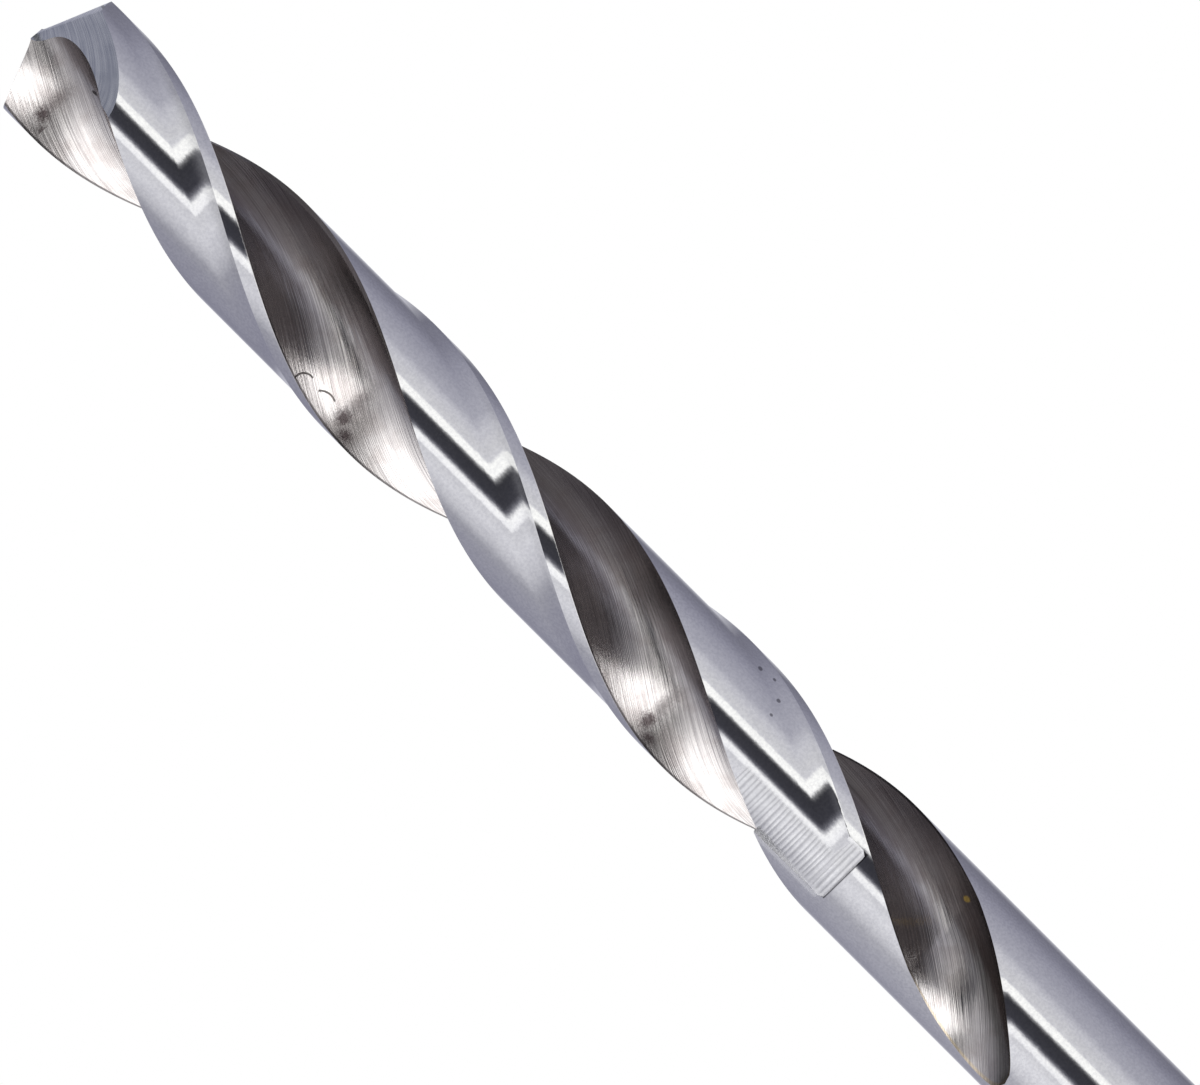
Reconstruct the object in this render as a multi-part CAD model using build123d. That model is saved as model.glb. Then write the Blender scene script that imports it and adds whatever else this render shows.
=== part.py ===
from build123d import *

import os
from math import acos, asin, atan2, cos, degrees, hypot, pi, radians, sin, sqrt, tan

# Twist drill with a parallel shank, right-hand cutting, made of one piece.
# Lengths are millimetres and angles are degrees. The drill stands on the end of its
# shank with its axis on Z and the point up. The axis origin is the centre of that end.

# ---- body and shank ----
DIAMETER = 8.0
OVERALL_LENGTH = 117.0
FLUTE_LENGTH = 74.7
SHANK_CHAMFER = 0.5
BACK_TAPER = 0.0005  # the fluted part narrows this much for each millimetre from the point

# ---- flutes ----
FLUTES = 2
HELIX_ANGLE = 28.3
WEB_AT_POINT = 1.26
WEB_AT_RUN_OUT = 2.9
RUN_OUT_LENGTH = 7.8
RUN_OUT_TURN = 7.5  # extra turn of a flute while it lifts out of the bar
RUN_OUT_LIFT = 0.75  # below 1, a flute lifts faster towards its end
RUN_OUT_STEPS = 4
FLOOR_SHIFT = 0.42  # the deepest line of a flute lies this far towards its lip
RAKE_ARC_RADIUS = 9.6
HEEL_ARC_RADIUS = 1.85
HEEL_WALL = 0.5
HEEL_FLARE = 56.0

# ---- margin and body clearance ----
MARGIN_WIDTH = 0.86
CLEARANCE_DEPTH = 0.28
CLEARANCE_LENGTH = 61.1  # from the point to the square end of the relieved land
CLEARANCE_END_LENGTH = 5.7
CLEARANCE_END_STRAIGHT = 1.25
CLEARANCE_END_WIDTH = 3.75
CLEARANCE_END_CORNER = 0.3
FLAT_SINK = 0.02  # the flat to the margin starts this far under the relieved surface
CLEARANCE_SWEEP = 240.0  # shared by the flutes: from a margin into the next open flute

# ---- point grind ----
POINT_ANGLE = 133.0
LIP_TURN = 9.0  # from +X to the lips, seen from the point
CHISEL_ANGLE = 52.0  # between the chisel edge and the lips
LIP_RELIEF = 5.0
PRIMARY_LAND = 47.0
HEEL_SLOPE = 58.8
HEEL_REACH = 120.0
RIM_CLEARANCE = 0.4  # the grind runs this far past the bar
RIM_STEPS = 6

# ---- sizes worked out from those above ----
RADIUS = DIAMETER / 2
CLEARANCE_RADIUS = RADIUS - CLEARANCE_DEPTH
FLAT_RADIUS = CLEARANCE_RADIUS - FLAT_SINK
SHANK_RADIUS = RADIUS - BACK_TAPER * FLUTE_LENGTH / 2
OUTSIDE = 1.5 * DIAMETER  # clear of the bar on every side
LEAD = pi * DIAMETER / tan(radians(HELIX_ANGLE))
LIP_OFFSET = WEB_AT_POINT / 2
CHISEL_TURN = LIP_TURN + CHISEL_ANGLE
CHISEL_HALF_LENGTH = LIP_OFFSET / sin(radians(CHISEL_ANGLE))
LIP_LENGTH = sqrt(RADIUS**2 - LIP_OFFSET**2) - CHISEL_HALF_LENGTH * cos(radians(CHISEL_ANGLE))
CORNER_TURN = LIP_TURN + degrees(asin(LIP_OFFSET / RADIUS))
CORNER_FALL = LIP_LENGTH / tan(radians(POINT_ANGLE / 2))
CORNER_HEIGHT = OVERALL_LENGTH - CORNER_FALL
FLUTE_END = OVERALL_LENGTH - FLUTE_LENGTH
RUN_OUT_START = FLUTE_END + RUN_OUT_LENGTH
FLUTE_TOP = OVERALL_LENGTH + CHISEL_HALF_LENGTH
CLEARANCE_END = OVERALL_LENGTH - CLEARANCE_LENGTH
UPRIGHT = (Align.CENTER, Align.CENTER, Align.MIN)


def polar(radius, angle, height=0.0):
    """A point at this radius and angle about the drill's axis."""
    turn = radians(angle)
    return Vector(radius * cos(turn), radius * sin(turn), height)


def twist(height):
    """How far the flutes have turned at this height, counted from the lips' outer corners."""
    return 360 * (height - CORNER_HEIGHT) / LEAD


def each_flute(solid):
    """The solid, repeated about the axis once for each flute."""
    return [solid.rotate(Axis.Z, 360 * index / FLUTES) for index in range(FLUTES)]


def at_height(section, height):
    """The section, turned with the flutes and lifted to this height."""
    return section.rotate(Axis.Z, twist(height)).moved(Location((0, 0, height))).face()


def twisted(sections):
    """The solid through these sections, given by height, turning about the axis with the flutes."""
    bottom = min(sections)
    top = max(sections)
    path = Line((0, 0, bottom), (0, 0, top)).edge()
    guide = Helix(LEAD, top - bottom, RADIUS, center=(0, 0, bottom)).edge()
    faces = [at_height(sections[height], height) for height in sorted(sections)]
    return Solid.sweep_multi(faces, path, binormal=guide)


def web_at(height):
    """Thickness of the web, which grows evenly from the point to the run-out."""
    growth = (WEB_AT_RUN_OUT - WEB_AT_POINT) / (CORNER_HEIGHT - RUN_OUT_START)
    return WEB_AT_POINT + growth * (CORNER_HEIGHT - height)


def flute_section(web):
    """What a flute cuts: rake arc, floor and heel arc, closed outside the bar."""
    floor = Vector(FLOOR_SHIFT, web / 2)
    heel_centre = floor + Vector(0, HEEL_ARC_RADIUS)
    rake_centre = floor + Vector(0, RAKE_ARC_RADIUS)
    rake_sweep = degrees(asin(min(OUTSIDE / 2 / RAKE_ARC_RADIUS, 1)))
    rake = CenterArc(rake_centre, RAKE_ARC_RADIUS, 270, rake_sweep)
    heel = CenterArc(heel_centre, HEEL_ARC_RADIUS, 180, 90)
    wall_end = heel @ 0 + Vector(0, HEEL_WALL)
    flare_end = wall_end + polar(OUTSIDE, 90 + HEEL_FLARE)
    rake_end = rake @ 1
    lid = Polyline(heel @ 0, wall_end, flare_end, (rake_end.X, flare_end.Y), rake_end)
    return make_face([rake, heel, lid])


def corner_angle(web):
    """Where the rake arc of a flute section meets the bar's surface."""
    across = hypot(FLOOR_SHIFT, web / 2 + RAKE_ARC_RADIUS)
    reach = (RADIUS**2 + across**2 - RAKE_ARC_RADIUS**2) / (2 * RADIUS * across)
    return degrees(atan2(web / 2 + RAKE_ARC_RADIUS, FLOOR_SHIFT) - acos(reach))


def seated_flute_section(web):
    """The flute section, turned so that its leading edge keeps to one helix."""
    return flute_section(web).rotate(Axis.Z, CORNER_TURN - corner_angle(web))


def run_out_section(share):
    """The flute section at this share of the run-out, where it has lifted and turned a little."""
    web = DIAMETER - (DIAMETER - WEB_AT_RUN_OUT) * (1 - share) ** RUN_OUT_LIFT
    extra_turn = RUN_OUT_TURN * sin(pi / 2 * share)
    return flute_section(web).rotate(Axis.Z, CORNER_TURN - corner_angle(WEB_AT_RUN_OUT) - extra_turn)


def fluting():
    """One flute's cutters: full depth over the thickening web, then lifting out of the bar."""
    full_depth = {
        FLUTE_TOP: seated_flute_section(web_at(FLUTE_TOP)),
        RUN_OUT_START: seated_flute_section(WEB_AT_RUN_OUT),
    }
    run_out = {}
    for step in range(RUN_OUT_STEPS + 1):
        share = step / RUN_OUT_STEPS
        run_out[RUN_OUT_START - RUN_OUT_LENGTH * share] = run_out_section(share)
    return [twisted(full_depth), twisted(run_out)]


def ring_sector(inner, start, sweep, lean=0.0):
    """A piece of a flat ring from this inner radius outwards, whose far side leans over."""
    inner_arc = CenterArc((0, 0), inner, start, sweep)
    outer_arc = CenterArc((0, 0), OUTSIDE, start, sweep + lean)
    sides = [Line(inner_arc @ end, outer_arc @ end) for end in (0, 1)]
    return make_face([inner_arc, outer_arc] + sides)


def ring_block(inner, start, sweep, bottom, top):
    """A block round part of the bar, from this inner radius outwards."""
    sector = ring_sector(inner, start, sweep)
    return extrude(sector.moved(Location((0, 0, bottom))), top - bottom, dir=(0, 0, 1))


def angle_of(arc_length):
    """The angle that an arc of this length takes up on the bar's surface."""
    return degrees(arc_length / RADIUS)


def land_clearance():
    """Cutter for the relieved back of one land, which leaves the margin standing.

    It turns with the flutes up to its square end, whose sides run along the drill. A flat
    leads from the relieved back up to the margin.
    """
    margin_back = CORNER_TURN - angle_of(MARGIN_WIDTH)
    flat_start = margin_back - degrees(acos(FLAT_RADIUS / RADIUS))
    flat_lean = degrees(acos(FLAT_RADIUS / OUTSIDE))
    sweep = CLEARANCE_SWEEP / FLUTES
    section = ring_sector(FLAT_RADIUS, flat_start - sweep, sweep, flat_lean)

    turning_end = CLEARANCE_END + CLEARANCE_END_STRAIGHT
    square_top = CLEARANCE_END + CLEARANCE_END_LENGTH
    width = angle_of(CLEARANCE_END_WIDTH)
    left = margin_back + twist(turning_end) - width
    square_end = ring_block(RADIUS / 2, left, width, CLEARANCE_END, square_top)
    low_corners = square_end.edges().filter_by(GeomType.LINE).group_by(Axis.Z)[0]
    square_end = fillet(low_corners, CLEARANCE_END_CORNER)
    turning = twisted({turning_end: section, FLUTE_TOP: section})
    kept_land = ring_block(RADIUS / 2, left - sweep, sweep, CLEARANCE_END, square_top)
    core = Cylinder(CLEARANCE_RADIUS, OUTSIDE + FLUTE_TOP, align=UPRIGHT)
    return turning - kept_land + square_end - core


def flank_slope(behind_lip):
    """Fall of a flank for each millimetre outward, this many degrees behind the lip's corner.

    The primary land falls by the lip relief. Behind it the grind eases down to the heel.
    """
    primary_fall = radians(max(min(behind_lip, PRIMARY_LAND), 0)) * tan(radians(LIP_RELIEF))
    secondary = (behind_lip - PRIMARY_LAND) / (HEEL_REACH - PRIMARY_LAND)
    eased = sin(pi / 2 * max(min(secondary, 1), 0))
    landed = CORNER_FALL / RADIUS + primary_fall
    return landed + (tan(radians(HEEL_SLOPE)) - landed) * eased


def flank():
    """Cutter above one flank, ruled from the chisel edge to a rim outside the bar."""
    rim_radius = RADIUS + RIM_CLEARANCE
    half_turn = 360 / FLUTES
    rim_points = []
    for step in range(RIM_STEPS + 1):
        angle = CHISEL_TURN - half_turn * step / RIM_STEPS
        fall = rim_radius * flank_slope(CORNER_TURN - angle)
        rim_points.append(polar(rim_radius, angle, OVERALL_LENGTH - fall))
    chisel_start = polar(CHISEL_HALF_LENGTH, CHISEL_TURN, OVERALL_LENGTH)
    chisel_end = polar(CHISEL_HALF_LENGTH, CHISEL_TURN - half_turn, OVERALL_LENGTH)
    chisel_edge = Line(chisel_start, chisel_end).edge()
    surface = Face.make_surface_from_curves(chisel_edge, Spline(rim_points).edge())
    return Solid.extrude(surface, Vector(0, 0, OUTSIDE))


def blank():
    """The ground bar: a chamfered shank, then the back-tapered length that takes the flutes."""
    shank = Cylinder(SHANK_RADIUS, FLUTE_END, align=UPRIGHT)
    shank = chamfer(shank.edges().filter_by(GeomType.CIRCLE).group_by(Axis.Z)[0], SHANK_CHAMFER)
    body = Cone(SHANK_RADIUS, RADIUS, FLUTE_LENGTH, align=UPRIGHT)
    return shank + body.moved(Location((0, 0, FLUTE_END)))


def drill_bit():
    """The finished drill: the blank less its flutes, land clearances and flanks."""
    drill = blank()
    for cutter in fluting() + [land_clearance(), flank()]:
        drill -= each_flute(cutter)
    return drill


os.makedirs("parts", exist_ok=True)
export_step(drill_bit(), "parts/drill_bit.step")
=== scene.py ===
import functools
import math

import bmesh
import bpy
from mathutils import Matrix, Vector


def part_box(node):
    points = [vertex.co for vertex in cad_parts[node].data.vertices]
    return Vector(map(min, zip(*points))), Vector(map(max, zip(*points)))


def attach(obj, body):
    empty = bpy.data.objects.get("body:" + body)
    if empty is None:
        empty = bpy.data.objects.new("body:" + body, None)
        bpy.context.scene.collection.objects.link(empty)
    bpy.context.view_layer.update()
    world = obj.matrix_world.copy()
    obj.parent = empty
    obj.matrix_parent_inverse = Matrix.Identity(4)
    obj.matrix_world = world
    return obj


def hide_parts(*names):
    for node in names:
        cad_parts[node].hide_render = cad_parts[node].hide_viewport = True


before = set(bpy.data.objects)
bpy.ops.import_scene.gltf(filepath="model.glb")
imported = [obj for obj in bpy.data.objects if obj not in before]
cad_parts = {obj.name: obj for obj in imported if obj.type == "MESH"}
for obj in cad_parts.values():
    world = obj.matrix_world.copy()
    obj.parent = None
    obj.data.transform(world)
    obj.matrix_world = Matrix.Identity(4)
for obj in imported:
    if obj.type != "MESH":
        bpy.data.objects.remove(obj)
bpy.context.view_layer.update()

# A twist drill, standing on the end of its shank with its axis on Z and the point up.
# Lengths are metres, written as millimetres times MM. Angles are radians.

MM = 0.001
DEGREE = math.pi / 180

# ---- sizes of the bar and its flutes ----
# The length comes from the frame, and the radius is to it as the second of these is to the first.
LENGTH_IN_MM = 117.0
RADIUS_IN_MM = 4.0
OVERALL_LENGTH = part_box("drill_bit")[1][2]
RADIUS = OVERALL_LENGTH * RADIUS_IN_MM / LENGTH_IN_MM
FLUTES = 2
FLUTE_LENGTH = 74.7 * MM
SHANK_CHAMFER = 0.5 * MM
BACK_TAPER = 0.0005
HELIX_ANGLE = 28.3 * DEGREE
WEB_AT_POINT = 1.26 * MM
WEB_AT_RUN_OUT = 2.9 * MM
RUN_OUT_LENGTH = 7.8 * MM
RUN_OUT_TURN = 7.5 * DEGREE
RUN_OUT_LIFT = 0.75
# At the run-out's end the floor of the flute stands this far outside the bar.
RUN_OUT_RISE = 0.001 * MM
FLOOR_SHIFT = 0.42 * MM
RAKE_ARC_RADIUS = 9.6 * MM
HEEL_ARC_RADIUS = 1.85 * MM
HEEL_WALL = 0.5 * MM
HEEL_FLARE = 56.0 * DEGREE

# ---- margins and relieved lands ----
MARGIN_WIDTH = 0.86 * MM
CLEARANCE_DEPTH = 0.28 * MM
CLEARANCE_END = OVERALL_LENGTH - 61.1 * MM
CLEARANCE_END_STRAIGHT = 1.25 * MM
CLEARANCE_END_WIDTH = 3.75 * MM
CLEARANCE_END_CORNER = 0.3 * MM

# ---- point grind ----
POINT_ANGLE = 133.0 * DEGREE
LIP_TURN = 9.0 * DEGREE
CHISEL_ANGLE = 52.0 * DEGREE
LIP_RELIEF = 5.0 * DEGREE
PRIMARY_LAND = 47.0 * DEGREE
HEEL_SLOPE = 58.8 * DEGREE
HEEL_REACH = 120.0 * DEGREE
RIM_CLEARANCE = 0.4 * MM

# ---- worked out from those above ----
TURN_RATE = math.tan(HELIX_ANGLE) / RADIUS
LIP_OFFSET = WEB_AT_POINT / 2
CHISEL_TURN = LIP_TURN + CHISEL_ANGLE
CHISEL_HALF = LIP_OFFSET / math.sin(CHISEL_ANGLE)
LIP_LENGTH = math.sqrt(RADIUS**2 - LIP_OFFSET**2) - CHISEL_HALF * math.cos(CHISEL_ANGLE)
CORNER_TURN = LIP_TURN + math.asin(LIP_OFFSET / RADIUS)
CORNER_FALL = LIP_LENGTH / math.tan(POINT_ANGLE / 2)
CORNER_HEIGHT = OVERALL_LENGTH - CORNER_FALL
SHANK_RADIUS = RADIUS - BACK_TAPER * FLUTE_LENGTH / 2
RELIEVED_RADIUS = RADIUS - CLEARANCE_DEPTH
FLUTE_END = OVERALL_LENGTH - FLUTE_LENGTH
RUN_OUT_START = FLUTE_END + RUN_OUT_LENGTH
WEB_GROWTH = (WEB_AT_RUN_OUT - WEB_AT_POINT) / (CORNER_HEIGHT - RUN_OUT_START)
WEB_GONE = 2 * (SHANK_RADIUS + RUN_OUT_RISE)
FLOOR_TURN = math.atan2(FLOOR_SHIFT, RADIUS)
RELIEF_START = CLEARANCE_END + CLEARANCE_END_STRAIGHT
NEXT_EDGE = 2 * math.pi / FLUTES
MARGIN_ANGLE = MARGIN_WIDTH / RADIUS
FLAT_ANGLE = math.acos(RELIEVED_RADIUS / RADIUS)
END_TWIST = (RELIEF_START - CORNER_HEIGHT) * TURN_RATE
END_RIGHT = CORNER_TURN + NEXT_EDGE - MARGIN_ANGLE + END_TWIST
END_LEFT = END_RIGHT - CLEARANCE_END_WIDTH / RADIUS
END_CORNER_TOP = CLEARANCE_END + CLEARANCE_END_CORNER
KEPT_END_RAMP = CLEARANCE_DEPTH / 3

# ---- fine shape of the relieved land: its rise to the margin, and the wheel's feed marks ----
RISE_WIDENING = 1.02
RISE_ANGLE = FLAT_ANGLE * RISE_WIDENING
RISE_HOLLOW = 2.1
SIDE_FADE = 5.0 * MM
RIDGE_PITCH = 0.27 * MM
RIDGE_DEPTH = 0.005 * MM
RIDGE_INSET = 1.15 * MM
RIDGE_RIGHT = END_RIGHT - RIDGE_INSET / RADIUS
RIDGE_SOFT = 0.06
RIDGE_FADE = 0.25 * MM
RIDGE_REACH = 7.8 * MM
RIDGE_TOP = CLEARANCE_END + RIDGE_REACH
# How the marks' spacing wanders: waves for each mark, and how far they shift it, in radians.
SLOW_WAVE, SLOW_START, SLOW_SHIFT = 0.37, 1.0, 0.7
LONG_WAVE, LONG_SLANT, LONG_SHIFT = 0.13, 2.0, 0.6


class Value:
    """A number in a node tree. Arithmetic on it adds Math nodes."""

    def __init__(self, bench, socket):
        self.bench = bench
        self.socket = socket

    def __add__(self, other):
        return self.bench.math("ADD", self, other)

    def __radd__(self, other):
        return self.bench.math("ADD", other, self)

    def __sub__(self, other):
        return self.bench.math("SUBTRACT", self, other)

    def __rsub__(self, other):
        return self.bench.math("SUBTRACT", other, self)

    def __mul__(self, other):
        return self.bench.math("MULTIPLY", self, other)

    def __rmul__(self, other):
        return self.bench.math("MULTIPLY", other, self)

    def __truediv__(self, other):
        return self.bench.math("DIVIDE", self, other)

    def __rtruediv__(self, other):
        return self.bench.math("DIVIDE", other, self)

    def __pow__(self, other):
        return self.bench.math("POWER", self, other)

    def __gt__(self, other):
        return self.bench.math("GREATER_THAN", self, other)

    def __lt__(self, other):
        return self.bench.math("LESS_THAN", self, other)

    def __neg__(self):
        return self.bench.math("MULTIPLY", self, -1.0)


class Bench:
    """A node tree that is being put together."""

    def __init__(self, tree):
        self.tree = tree

    def node(self, kind, settings=None, inputs=None):
        """A new node: its settings come first, then the values or links of its sockets."""
        made = self.tree.nodes.new(kind)
        for name, setting in (settings or {}).items():
            if name == "stops":
                self.set_stops(made.color_ramp, setting)
            else:
                setattr(made, name, setting)
        for key, value in (inputs or {}).items():
            for source in value if isinstance(value, list) else [value]:
                self.feed(made.inputs[key], source)
        return made

    def feed(self, socket, source):
        """Gives a socket a plain value, or links it to a Value or to another socket."""
        source = getattr(source, "socket", source)
        if isinstance(source, bpy.types.NodeSocket):
            self.tree.links.new(source, socket)
        else:
            socket.default_value = source

    def set_stops(self, ramp, stops):
        """Sets a colour ramp to these (place, colour) stops."""
        while len(ramp.elements) < len(stops):
            ramp.elements.new(1.0)
        for element, (place, colour) in zip(ramp.elements, stops):
            element.position = place
            element.color = colour

    def value(self, kind, settings=None, inputs=None, output=0):
        """A new node's output, as a Value."""
        return Value(self, self.node(kind, settings, inputs).outputs[output])

    def math(self, operation, *terms):
        """The Value of a Math node on these terms."""
        return self.value("ShaderNodeMath", {"operation": operation}, dict(enumerate(terms)))

    def vector(self, x, y, z):
        """A vector socket made of three numbers or Values."""
        return self.node("ShaderNodeCombineXYZ", {}, {0: x, 1: y, 2: z}).outputs[0]

    def split(self, vector):
        """The three numbers of a vector."""
        parts = self.node("ShaderNodeSeparateXYZ", {}, {0: vector})
        return [Value(self, parts.outputs[axis]) for axis in range(3)]

    def mixed(self, share, first, second):
        """One colour at share 0 and the other at share 1."""
        colours = {0: share, 6: first, 7: second}
        return self.node("ShaderNodeMix", {"data_type": "RGBA"}, colours).outputs[2]


class Rule:
    """Works out some numbers from others.

    In a node tree it is a group, which is made once and used often.
    """

    def __init__(self, name, takes, gives, work):
        self.work = work
        self.gives = gives
        self.tree = bpy.data.node_groups.new(name, "GeometryNodeTree")
        for term in takes:
            self.tree.interface.new_socket(term, in_out="INPUT", socket_type="NodeSocketFloat")
        for result in gives:
            self.tree.interface.new_socket(result, in_out="OUTPUT", socket_type="NodeSocketFloat")
        bench = Bench(self.tree)
        entry = bench.node("NodeGroupInput")
        results = work(*[Value(bench, entry.outputs[term]) for term in takes])
        bench.node("NodeGroupOutput", {}, dict(zip(gives, results)))

    def __call__(self, *terms):
        for term in terms:
            if isinstance(term, Value):
                group = {"node_tree": self.tree}
                made = term.bench.node("GeometryNodeGroup", group, dict(enumerate(terms)))
                return [Value(term.bench, made.outputs[name]) for name in self.gives]
        return self.work(*terms)


def worked(operation, plain, *terms):
    """A Math node's Value where a term is one, or the plain function's result."""
    for term in terms:
        if isinstance(term, Value):
            return term.bench.math(operation, *terms)
    return plain(*terms)


def sin(angle):
    return worked("SINE", math.sin, angle)


def cos(angle):
    return worked("COSINE", math.cos, angle)


def sqrt(number):
    return worked("SQRT", math.sqrt, most(number, 0.0))


def atan2(rise, run):
    return worked("ARCTAN2", math.atan2, rise, run)


def least(first, second):
    return worked("MINIMUM", min, first, second)


def most(first, second):
    return worked("MAXIMUM", max, first, second)


def acos(number):
    return worked("ARCCOSINE", math.acos, most(least(number, 1.0), -1.0))


def log(number):
    return worked("LOGARITHM", math.log, number, math.e)


def between(number, low=0.0, high=1.0):
    return most(least(number, high), low)


def greatest(numbers):
    return functools.reduce(most, numbers)


def blend(start, end, share):
    return start + (end - start) * share


# ---- the section of the bar at a height ----


def twist(height):
    """How far the flutes have turned, counted from the lips' outer corners."""
    return (height - CORNER_HEIGHT) * TURN_RATE


def bar_radius(height):
    """Radius of the ground bar, which narrows from the point to the shank."""
    return most(RADIUS - (OVERALL_LENGTH - height) * (BACK_TAPER / 2), SHANK_RADIUS)


def arc_reach(centre, shift, arc_radius, radius):
    """Half the angle over which a flute's arc lies within this radius."""
    across = sqrt(centre * centre + shift * shift)
    return acos((across * across + arc_radius**2 - radius * radius) / (across * 2 * arc_radius))


def rake_point(web, shift, angle):
    """A point of the rake arc, this angle from the floor of the flute."""
    return shift + RAKE_ARC_RADIUS * sin(angle), web / 2 + RAKE_ARC_RADIUS * (1.0 - cos(angle))


def rake_reach(web, shift, radius):
    """Angle of the rake arc, from the floor of the flute to its leading edge."""
    centre = web / 2 + RAKE_ARC_RADIUS
    return most(arc_reach(centre, shift, RAKE_ARC_RADIUS, radius) - atan2(shift, centre), 0.0)


def section_sizes(height):
    """Web, shift of the floor, bar radius and turn of the section at this height."""
    lifted = between((RUN_OUT_START - height) / RUN_OUT_LENGTH)
    full_web = WEB_AT_POINT + (CORNER_HEIGHT - most(height, RUN_OUT_START)) * WEB_GROWTH
    web = WEB_GONE - (WEB_GONE - full_web) * (1.0 - lifted) ** RUN_OUT_LIFT
    shift = FLOOR_SHIFT * (1.0 - lifted)
    seat_x, seat_y = rake_point(full_web, FLOOR_SHIFT, rake_reach(full_web, FLOOR_SHIFT, RADIUS))
    run_out = RUN_OUT_TURN * sin(lifted * (math.pi / 2)) + FLOOR_TURN * lifted
    turn = CORNER_TURN - atan2(seat_y, seat_x) - run_out + twist(height)
    return web, shift, bar_radius(height), turn


SECTION_NAMES = ["Web", "Shift", "Radius", "Turn"]
SECTION_SIZES = Rule("Flute section", ["Height"], SECTION_NAMES, section_sizes)


class Section:
    """A flute's section at one height, laid out as at the lips and then turned."""

    def __init__(self, height, heel_radius=None):
        self.web, self.shift, self.radius, self.turn = SECTION_SIZES(height)
        self.heel_radius = self.radius if heel_radius is None else heel_radius

    def rake(self, share):
        """From the leading edge along the rake arc to the floor."""
        reach = rake_reach(self.web, self.shift, self.radius)
        return rake_point(self.web, self.shift, reach * (1.0 - share))

    def heel(self, share):
        """From the floor up the heel arc."""
        centre = self.web / 2 + HEEL_ARC_RADIUS
        half = arc_reach(centre, self.shift, HEEL_ARC_RADIUS, self.heel_radius)
        angle = least(half + atan2(self.shift, centre), math.pi / 2) * share
        return self.shift - HEEL_ARC_RADIUS * sin(angle), centre - HEEL_ARC_RADIUS * cos(angle)

    def wall(self, share):
        """Up the straight heel wall, which stops short at the heel's radius."""
        x, y = self.heel(1.0)
        room = between(sqrt(self.heel_radius * self.heel_radius - x * x) - y, 0.0, HEEL_WALL)
        return x, y + room * share

    def flare(self, share):
        """Along the flare, which leans from the heel wall out to the heel's radius."""
        x, y = self.wall(1.0)
        lean_x = -math.sin(HEEL_FLARE)
        lean_y = math.cos(HEEL_FLARE)
        along = x * lean_x + y * lean_y
        reach = sqrt(along * along - x * x - y * y + self.heel_radius * self.heel_radius) - along
        step = most(reach, 0.0) * share
        return x + lean_x * step, y + lean_y * step

    def lead_angle(self):
        """Where the flute's leading edge stands."""
        x, y = self.rake(0.0)
        return atan2(y, x) + self.turn

    def heel_angle(self):
        """Where the far edge of the flute stands, which is the heel of the next land."""
        x, y = self.flare(1.0)
        return atan2(y, x) + self.turn


# ---- the land that follows the flute, up to the next leading edge ----

HALVINGS = 40


def height_where(measure, target, low, high):
    """The height between low and high at which a measure that grows upwards meets the target."""
    for _ in range(HALVINGS):
        middle = (low + high) / 2
        if measure(middle) < target:
            low = middle
        else:
            high = middle
    return (low + high) / 2


KEPT_END = height_where(lambda z: Section(z).heel_angle(), END_LEFT, RELIEF_START, CORNER_HEIGHT)


def land_sizes(height):
    """Bar radius, radius at the heel, and the angles of the heel and of the next leading edge."""
    section = Section(height)
    relieved = between((height - KEPT_END) / KEPT_END_RAMP + 1.0)
    heel_radius = blend(section.radius, RELIEVED_RADIUS, relieved)
    heel = Section(height, heel_radius).heel_angle()
    return section.radius, heel_radius, heel, section.lead_angle() + NEXT_EDGE


LAND_NAMES = ["Radius", "Heel radius", "Heel", "Lead"]
LAND_SIZES = Rule("Land edges", ["Height"], LAND_NAMES, land_sizes)


def wheel_patch(angle, height):
    """1 where the wheel left its feed marks on the square end, and 0 around that patch."""
    low_part = between((RELIEF_START - height) / RIDGE_FADE)
    right = between((blend(RIDGE_RIGHT, END_RIGHT, low_part) - angle) / RIDGE_SOFT)
    left = between((angle - END_LEFT) / RIDGE_SOFT)
    return right * left * between((RIDGE_TOP - height) / RIDGE_FADE)


def feed_marks(angle, height):
    """1 in the grooves that the wheel left across the square end, and 0 between them."""
    phase = height * (2 * math.pi / RIDGE_PITCH)
    slow = sin(phase * SLOW_WAVE + SLOW_START) * SLOW_SHIFT
    wander = slow + sin(phase * LONG_WAVE + angle * LONG_SLANT) * LONG_SHIFT
    wave = sin(phase + wander) * 0.5 + 0.5
    return wave * wave * wheel_patch(angle, height)


class Land:
    """The outside of the land after a flute, at one height."""

    def __init__(self, height):
        self.radius, self.heel_radius, self.heel, self.lead = LAND_SIZES(height)
        self.height = height
        self.above_end = height > KEPT_END

    def share(self, angle):
        """How far across the land an angle lies."""
        return (angle - self.heel) / (self.lead - self.heel)

    def place(self, share):
        """The angle that lies this far across the land."""
        return blend(self.heel, self.lead, share)

    def kept_edge(self):
        """Where the land kept at full radius beside the square end stops."""
        return most(self.heel, END_LEFT)

    def patch_edge(self):
        """The square end's other side, carried on up the relieved land."""
        return blend(END_RIGHT, self.place(PATCH_SHARE), self.above_end)

    def rise_edge(self):
        """Where the rise to the margin starts, at or beyond the square end's side."""
        return most(self.margin_edge() - RISE_ANGLE, self.patch_edge())

    def margin_edge(self):
        """Where the rise meets the margin."""
        return most(self.lead - MARGIN_ANGLE, END_RIGHT)

    def relieved(self, angle):
        """Radius of the relieved land, which rises to the margin and to the square end's side."""
        to_margin = between((angle - self.margin_edge()) / RISE_ANGLE + 1.0) ** RISE_HOLLOW
        fade = between((KEPT_END - self.height) / SIDE_FADE)
        to_side = between(END_LEFT + fade * FLAT_ANGLE - angle)
        rise = to_margin * CLEARANCE_DEPTH + RELIEVED_RADIUS / cos(to_side)
        return least(rise - self.ridges(angle), self.radius)

    def ridges(self, angle):
        """Depth of the wheel's feed marks."""
        return feed_marks(angle, self.height) * RIDGE_DEPTH


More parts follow.
